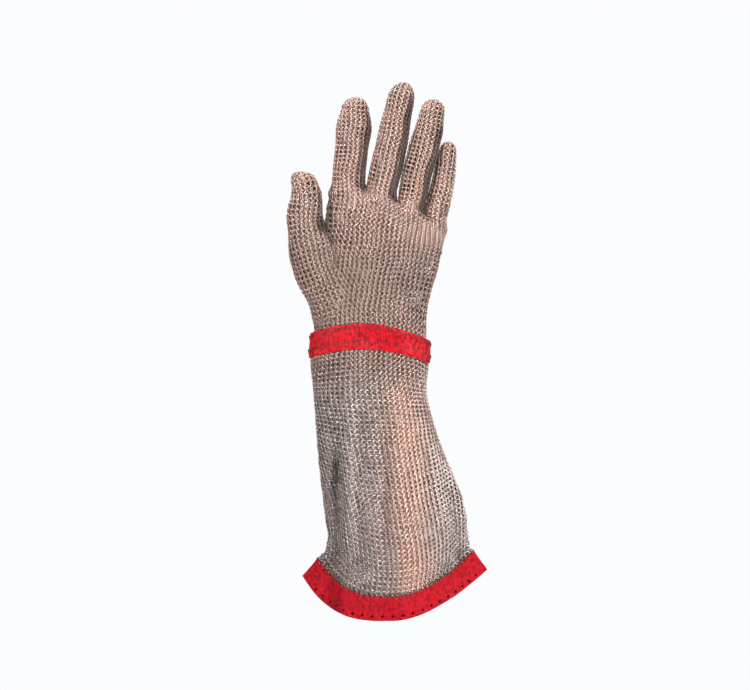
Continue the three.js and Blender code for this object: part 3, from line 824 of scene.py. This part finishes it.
def make_rings(name, rings, sizes, seed, *solids):
    """A piece of mesh: a point for each ring, dressed by the tree and made a plain mesh."""
    points = bpy.data.meshes.new(name + "_points")
    points.from_pydata((rings["place"] * MM).tolist(), [], [])
    for key in ("outward", "row_way"):
        layer = points.attributes.new(key, "FLOAT_VECTOR", "POINT")
        layer.data.foreach_set("vector", rings[key].ravel())
    for key in ("lean", "lit_share", "worn", "darkened"):
        # Rings with no share of painted light, such as the links on the ribbons, get 0, so they are
        # painted wholly in shade
        values = rings.get(key, np.zeros(len(rings["place"])))
        points.attributes.new(key, "FLOAT", "POINT").data.foreach_set("value", values)
    holder = place_object(name + "_points", points)
    modifier = holder.modifiers.new("linked rings", "NODES")
    modifier.node_group = RING_TREE
    values = {
        "Ring radius": sizes["radius"] * MM,
        "Wire radius": sizes["wire"] * MM,
        "Lean": math.radians(sizes["lean"]),
        "Tip": math.radians(sizes["tip"]),
        "Unevenness": math.radians(sizes["uneven"]),
        "Ring sides": sizes["sides"],
        "Wire sides": sizes["wire sides"],
        "Seed": seed,
        "Steel": STEEL,
    }
    for socket in RING_TREE.interface.items_tree:
        if socket.name in values:
            modifier[socket.identifier] = values[socket.name]
    made = plain_mesh(holder)
    if made.materials[0] is None:
        made.materials.pop(index=0)
    for key in ("outward", "row_way", "lean"):
        if key in made.attributes:
            made.attributes.remove(made.attributes[key])
    bake_map(made, sizes["sides"] * sizes["wire sides"])
    return add_piece(name, made, "ring_mesh", *solids)


def strap_point(at, turn, off):
    """A point off the strap's inner side. Its free end is lifted over its other end."""
    at, turn, off = spread(at, turn, off)
    share = (at - STRAP_FOOT) / (STRAP_HEAD - STRAP_FOOT)
    start = 1 + OVERLAP["from"]
    lift = (RIBBON + GAP) * ease(turn, start - OVERLAP["ramp"], start - OVERLAP["ramp ends"])
    return sleeve_point(at, turn, -(GAP + (STRAP_LIFT - GAP) * share) - lift - off)


def hem_point(at, turn, off):
    """A point off the middle of the mesh inside the hem."""
    at, turn, off = spread(at, turn, off)
    return sleeve_point(at, turn, WALL / 2 - off)


def round_edge(end, soft, middle, half):
    """Places round a ribbon's edge, from the side at middle - half to the one at middle + half."""
    return [
        (end - soft * (1 - math.cos(angle)), middle + half * math.sin(angle))
        for angle in np.radians(ROUND_EDGE)
    ]


def strap_section():
    """Round the strap's flat section: up its inner side and down its outer side."""
    soft = RIBBON / 2 / STRAP_WIDTH
    rows = np.linspace(STRAP_FOOT + soft, STRAP_HEAD - soft, STRAP_ROWS)
    section = [(at, 0) for at in rows]
    section += round_edge(STRAP_HEAD, soft, RIBBON / 2, RIBBON / 2)
    section += [(at, RIBBON) for at in rows[::-1]]
    section += round_edge(STRAP_FOOT, -soft, RIBBON / 2, -RIBBON / 2)
    return section


def hem_section():
    """Round the folded hem's section: down its outer side, round the fold, up inside and back."""
    inner = HEM_OUT - RIBBON
    middle = (HEM_OUT + inner) / 2
    soft = RIBBON / 2 / HEM_WIDTH
    fold = HEM_OUT / HEM_WIDTH
    rows = np.linspace(HEM_TOP - soft, fold, HEM_ROWS)
    turns = np.linspace(0, math.pi, HEM_ROWS)[1:-1]
    section = [(at, HEM_OUT) for at in rows]
    section += [(fold * (1 - math.sin(turn)), HEM_OUT * math.cos(turn)) for turn in turns]
    section += [(at, -HEM_OUT) for at in rows[::-1]]
    section += round_edge(HEM_TOP, soft, -middle, RIBBON / 2)
    section += [(at, -inner) for at in rows]
    section += [
        (fold * (1 - INNER_FOLD * math.sin(turn)), -inner * math.cos(turn)) for turn in turns
    ]
    section += [(at, inner) for at in rows[::-1]]
    section += round_edge(HEM_TOP, soft, middle, RIBBON / 2)
    return section


def sweep_ribbon(point, section, turns, closed, look):
    """A ribbon swept round the sleeve, with a map in millimetres along and round it."""
    at = [place[0] for place in section]
    off = [place[1] for place in section]
    loops = np.array([point(at, turn, off) for turn in turns])
    middles = loops.mean(1)
    out_step = 3
    out = unit(point(at[0], turns, out_step) - point(at[0], turns, 0))
    waves = [WAVE["out"] * noise.noise(Vector(middle / WAVE["size"])) for middle in middles]
    loops = loops + (out * np.array(waves)[:, None])[:, None, :]
    count, sides = loops.shape[:2]
    along = lengths(np.concatenate([middles, middles[:1]]))
    round_it = lengths(np.concatenate([loops[0], loops[0][:1]]))
    faces = []
    places = []
    for i in range(count if closed else count - 1):
        j = (i + 1) % count
        for k in range(sides):
            n = (k + 1) % sides
            faces.append((i * sides + k, j * sides + k, j * sides + n, i * sides + n))
            for step, row in ((i, k), (i + 1, k), (i + 1, k + 1), (i, k + 1)):
                places.append((along[step], round_it[row]))
    if not closed:
        for i, order in ((0, 1), (count - 1, -1)):
            faces.append([i * sides + k for k in range(sides)][::order])
            places += [(along[i], round_it[k]) for k in range(sides)][::order]
    mesh = bpy.data.meshes.new("ribbon")
    mesh.from_pydata((loops.reshape(-1, 3) * MM).tolist(), [], faces)
    places = np.array(places)
    mesh.uv_layers.new(name="weave").data.foreach_set("uv", places.ravel())
    free = 0.01
    share = free + (1 - 2 * free) * places / places.max(0)
    mesh.uv_layers.new(name="OFBake").data.foreach_set("uv", share.ravel())
    mesh.polygons.foreach_set("use_smooth", [True] * len(faces))
    mesh.materials.append(look)
    return mesh


def ribbon_ways(point, at, turn, off, round_step, up_step):
    """The ways along a ribbon, up and out of it."""
    way = unit(point(at, turn - round_step, off) - point(at, turn + round_step, off))
    up = unit(point(at + up_step, turn, off) - point(at - up_step, turn, off))
    return way, up, unit(np.cross(way, up))


def edge_places(point, at, off, every, start, end):
    """Places an even step apart along a ribbon, with the ways along it, up and out of it."""
    fine = np.linspace(start, end, 1200)
    length = lengths(point(at, fine, off))
    count = int(round(length[-1] / every))
    turns = np.interp((np.arange(count) + 0.5) * length[-1] / count, length, fine)
    way, up, out = ribbon_ways(point, at, turns, off, *EDGE_STEPS)
    return {"place": point(at, turns, off), "way": way, "up": up, "out": out}


def round_bars(row):
    """Corners and faces of a short round bar through a ribbon at every place."""
    sides = HOLE["sides"]
    corners = []
    faces = []
    for place, way, up, out in zip(row["place"], row["way"], row["up"], row["out"]):
        base = len(corners)
        for end in (-HOLE["reach"], HOLE["reach"]):
            for angle in round_angles(sides):
                rim = way * math.cos(angle) + up * math.sin(angle)
                corners.append((place + out * end + rim * HOLE["radius"]) * MM)
        for k in range(sides):
            n = (k + 1) % sides
            faces.append((base + k, base + n, base + sides + n, base + sides + k))
        faces.append([base + k for k in range(sides)][::-1])
        faces.append([base + sides + k for k in range(sides)])
    return corners, faces


def punch(mesh, row):
    """Punches round holes through a ribbon."""
    corners, faces = round_bars(row)
    bars = bpy.data.meshes.new("bars")
    bars.from_pydata([tuple(corner) for corner in corners], [], faces)
    bars.materials.append(mesh.materials[0])
    tool = place_object("bars", bars)
    holder = place_object("ribbon", mesh)
    cut = holder.modifiers.new("punch", "BOOLEAN")
    cut.operation = "DIFFERENCE"
    cut.solver = "EXACT"
    cut.use_self = True
    cut.object = tool
    made = plain_mesh(holder)
    bpy.data.objects.remove(tool)
    return made


def sewn_rings(row):
    """Rings that come up out of a ribbon with their upper half."""
    lift = math.radians(SEWN["lift"])
    axis = row["out"] * math.cos(lift) - row["up"] * math.sin(lift)
    return {
        "place": row["place"],
        "outward": axis,
        "row_way": row["way"],
        "lean": np.zeros(len(axis)),
        # The sewn links are painted dark, as steel in shade
        "darkened": np.ones(len(axis)),
    }


def edge_rings(row):
    """Rings round a ribbon's edge, turned from edge-on."""
    turn = math.radians(EDGE_TURN)
    axis = row["way"] * math.cos(turn) + row["out"] * math.sin(turn)
    across = unit(np.cross(row["up"], axis))
    return {"place": row["place"], "outward": axis, "row_way": across, "lean": np.zeros(len(axis))}


def make_snap():
    """The snap on the strap's free end: a plate with a rolled rim and a cap with a dished top."""
    turn = 1 + (OVERLAP["from"] + OVERLAP["to"]) / 2
    seam = (STRAP_FOOT + STRAP_HEAD) / 2
    way, up, out = ribbon_ways(strap_point, seam, turn, RIBBON, *SNAP_STEPS)
    up = np.cross(out, way)
    foot = strap_point(seam, turn, RIBBON) + out * GAP
    corners = [foot]
    for radius, height in SNAP_PROFILE:
        for angle in round_angles(SNAP_SIDES):
            rim = way * math.cos(angle) + up * math.sin(angle)
            corners.append(foot + rim * radius + out * height)
    corners.append(foot + out * SNAP_TOP)
    top = len(corners) - 1
    above = top - SNAP_SIDES
    faces = []
    for i in range(SNAP_SIDES):
        j = (i + 1) % SNAP_SIDES
        faces.append((0, 1 + j, 1 + i))
        faces.append((above + i, above + j, top))
        for low in range(1, above, SNAP_SIDES):
            next_up = low + SNAP_SIDES
            faces.append((low + i, low + j, next_up + j, next_up + i))
    mesh = bpy.data.meshes.new("snap")
    mesh.from_pydata([tuple(corner * MM) for corner in corners], [], faces)
    mesh.polygons.foreach_set("use_smooth", [True] * len(faces))
    mesh.materials.append(snap_look())
    return add_piece("strap_snap_cap", mesh, "snap_steel", "strap_snap")


def new_look(name):
    """An empty material, its wiring, and the place on the object to paint by."""
    made = bpy.data.materials.new(name)
    made.use_nodes = True
    made.node_tree.nodes.clear()
    w = Wiring(made.node_tree)
    return made, w, w.node("ShaderNodeTexCoord").outputs["Object"]


def finish_look(w, sockets):
    shader = w.node("ShaderNodeBsdfPrincipled", None, sockets)
    w.node("ShaderNodeOutputMaterial", None, {"Surface": shader.outputs[0]})


def steel_look():
    """Drawn stainless wire, each ring a little lighter or duller than the next, with a painted
    highlight on the ridges, warm where it is handled, and painted shade in the folds, between
    fingers and on the wires' inner sides."""
    made, w, place = new_look("ring steel")
    on = {name: w.attribute(name) for name in ("tone", "lit_share", "worn", "darkened", "outside")}
    on["even"] = 1
    on["marks"] = w.noise(place, *WIRE_MARKS)
    on["spots"] = w.spots(place, *WARM_SPOTS)
    # Painted shade in folds and between fingers
    on["recess_shade"] = 1 - w.ramp(on["lit_share"], *SHADE_ENDS)
    light = w.ramp(weigh(STEEL_LIGHTER, on), *LIGHT_ENDS)
    warmth = on["worn"] * weigh(STEEL_WARMTH, on)
    # Painted shade on the inner sides of the wires, where the rings hide them from the light
    inside = (1 - w.ramp(on["outside"], *INSIDE_ENDS)) * weigh(STEEL_SHADE, on)
    # How far each ring is painted towards the colour of painted shade
    painted_shade = inside.maths("MAXIMUM", inside * INSIDE_SHADE, weigh(STEEL_SHADE_MIX, on))
    colour = w.mix(warmth, w.mix(light, STEEL_DARK, STEEL_LIGHT), STEEL_WARM)
    colour = w.mix(inside, colour, STEEL_INSIDE)
    finish_look(w, {
        "Base Color": w.mix(painted_shade, colour, STEEL_PAINTED_SHADE),
        "Metallic": 1.0,
        "Roughness": weigh(STEEL_ROUGH, on),
        "Normal": w.bump(on["marks"], strength=0.15, millimetres=0.04),
    })
    return made


def ribbon_look(name, darkened):
    """Ribbed red ribbon: cross ribs, threads along it, faded high spots, dull grooves and random
    spots of soil. The second argument says how much painted shade darkens it all over, from 0 to 1."""
    made, w, place = new_look(name)
    weave = w.node("ShaderNodeUVMap", {"uv_map": "weave"}).outputs[0]
    along, across, _ = w.node("ShaderNodeSeparateXYZ", None, {0: weave}).outputs
    on = {"even": 1, "fuzz": w.noise(place, *RIBBON_FUZZ)}
    on["ribs"] = w.waves(along, RIB_PITCH)
    on["threads"] = w.waves(across, THREAD_PITCH)
    height = weigh(WEAVE, on)
    faded = w.spots(place, *FADED_SPOTS) * RIBBON_FADED * (1 - darkened)
    # Painted shade all over the ribbon
    shade_all_over = darkened * RIBBON_SOIL_AND_SHADE["all over"]
    soil_and_shade = shade_all_over + w.spots(place, *SOIL_SPOTS) * RIBBON_SOIL_AND_SHADE["spots"] * (1 - shade_all_over)
    colour = w.mix(w.ramp(height, *WEAVE_ENDS), RED_DEEP, RED_BRIGHT)
    finish_look(w, {
        "Base Color": w.mix(soil_and_shade, w.mix(faded, colour, RED_FADED), RED_SOIL_AND_SHADE),
        "Roughness": weigh(RIBBON_ROUGH, on),
        "Specular IOR Level": 0.15,
        "Normal": w.bump(height, strength=0.7, millimetres=0.2),
    })
    return made


def snap_look():
    """Bright stamped steel with fine scratches from rubbing."""
    made, w, place = new_look("snap steel")
    stretched = w.value("ShaderNodeMapping", None, {"Vector": place, "Scale": (6, 1, 1)})
    on = {"even": 1, "dull": w.spots(place, *SNAP_SPOTS)}
    on["scratches"] = w.spots(stretched, *SNAP_SCRATCHES)
    finish_look(w, {
        "Base Color": w.mix(on["dull"], SNAP_BRIGHT, SNAP_DULL),
        "Metallic": 1.0,
        "Roughness": weigh(SNAP_ROUGH, on),
        "Normal": w.bump(on["scratches"], strength=0.1, millimetres=0.03),
    })
    return made


def floor_look():
    """Pale paper that fades into the pale studio towards its rim."""
    made, w, place = new_look("pale floor")
    from_middle = w.value("ShaderNodeVectorMath", {"operation": "LENGTH"}, {0: place}, 1)
    paper = w.mix(w.noise(place, *PAPER_GRAIN), PAPER_DULL, PAPER_PALE)
    plain = w.node("ShaderNodeBsdfDiffuse", None, {"Color": paper}).outputs[0]
    clear = w.node("ShaderNodeBsdfTransparent").outputs[0]
    fade = w.ramp(from_middle, *(FLOOR_RADIUS * share for share in FLOOR_FADE))
    both = w.node("ShaderNodeMixShader", None, {0: fade, 1: plain, 2: clear}).outputs[0]
    w.node("ShaderNodeOutputMaterial", None, {"Surface": both})
    return made


def add_light(name, place, aim, size, spread_degrees, power):
    light = bpy.data.lights.new(name, "AREA")
    light.shape = "RECTANGLE"
    light.size, light.size_y = size
    light.spread = math.radians(spread_degrees)
    light.energy = power
    lamp = place_object(name, light)
    lamp.location = place
    lamp.rotation_euler = (Vector(aim) - Vector(place)).to_track_quat("-Z", "Y").to_euler()


def make_stage():
    """The camera at the photograph's angle, soft lights, a pale surrounding and a pale floor."""
    scene = bpy.context.scene
    camera = place_object("camera", bpy.data.cameras.new("camera"))
    camera.data.lens = CAMERA_LENS
    camera.data.sensor_width = 36
    camera.location = CAMERA_PLACE
    camera.rotation_euler = (math.pi / 2, 0, 0)
    scene.camera = camera
    scene.view_settings.view_transform = "Standard"
    for name, light in LIGHTS.items():
        add_light(name, *light)
    world = bpy.data.worlds.new("pale studio")
    world.use_nodes = True
    world.node_tree.nodes.clear()
    w = Wiring(world.node_tree)
    seen = w.node("ShaderNodeLightPath").outputs["Is Camera Ray"]
    colour = (*STUDIO_PALE, 1)
    light, pale = (
        w.node("ShaderNodeBackground", None, {"Color": colour, "Strength": strength}).outputs[0]
        for strength in (STUDIO_LIGHT, 1.0)
    )
    both = w.node("ShaderNodeMixShader", None, {0: seen, 1: light, 2: pale}).outputs[0]
    w.node("ShaderNodeOutputWorld", None, {"Surface": both})
    scene.world = world
    rim = [(math.cos(angle), math.sin(angle)) for angle in round_angles(96)]
    mesh = bpy.data.meshes.new("floor")
    corners = [(FLOOR_RADIUS * x, FLOOR_RADIUS * y, FLOOR_HEIGHT) for x, y in rim]
    mesh.from_pydata(corners, [], [list(range(len(corners)))])
    mesh.materials.append(floor_look())
    place_object("floor", mesh)


def make_mesh():
    """The ring mesh, in pieces that stand for the solids they lie on."""
    rings = lay_mesh()
    rings["lit_share"] = how_lit(rings)
    rings["worn"] = how_worn(rings)
    rings["darkened"] = how_darkened(rings)
    solids = nearest_solids(rings["place"])
    for number, solid in enumerate(sorted(set(solids))):
        own = pick(rings, solids == solid)
        sizes = FINGER_RING if "finger" in solid else RING
        order = np.argsort(own["place"][:, 2], kind="stable")
        for k, which in enumerate(np.array_split(order, math.ceil(len(order) / MOST_RINGS))):
            seed = SEEDS_EACH * number + k
            make_rings(f"{solid}_rings_{k + 1}", pick(own, which), sizes, seed, solid)


def make_strap():
    """The ribbon strap with the rings sewn along both its edges and its snap."""
    turns = np.linspace(OVERLAP["from"], 1 + OVERLAP["to"], STRAP_STEPS)
    look = ribbon_look("red strap ribbon", STRAP_DARKENED)
    mesh = sweep_ribbon(strap_point, strap_section(), turns, False, look)
    strap = add_piece("red_wrist_strap", mesh, "red_ribbon", "wrist_strap")
    step_in = SEWN["in"] / STRAP_WIDTH
    span = (OVERLAP["from"] + SEWN["from"], OVERLAP["from"] + SEWN["to"])
    rings = []
    for at in (STRAP_FOOT + step_in, STRAP_HEAD - step_in):
        rings.append(sewn_rings(edge_places(strap_point, at, RIBBON, SEWN["every"], *span)))
    links = make_rings("strap_links", gather(rings), STRAP_LINK, STRAP_SEED)
    make_snap()


def make_hem():
    """The folded ribbon round the cuff's mouth, with holes along it and rings on its top edge."""
    turns = np.arange(HEM_STEPS) / HEM_STEPS
    look = ribbon_look("red hem ribbon", HEM_DARKENED)
    mesh = sweep_ribbon(hem_point, hem_section(), turns, True, look)
    fold = edge_places(hem_point, HOLE["in"] / HEM_WIDTH, HEM_OUT, HOLE["every"], 0, 1)
    fold = pick(fold, np.abs(fold["place"][:, 0]) < HOLE["to"])
    hem = add_piece("red_cuff_hem", punch(mesh, fold), "red_ribbon", "hem_band")
    top = edge_places(hem_point, HEM_TOP, HEM_OUT - RIBBON / 2, EDGE_EVERY, 0, 1)
    links = make_rings("hem_links", edge_rings(top), LINK, HEM_SEED)


noise.seed_set(NOISE_SEED)
make_stage()
RING_TREE = ring_tree()
STEEL = steel_look()
make_mesh()
make_strap()
make_hem()

bpy.context.view_layer.update()
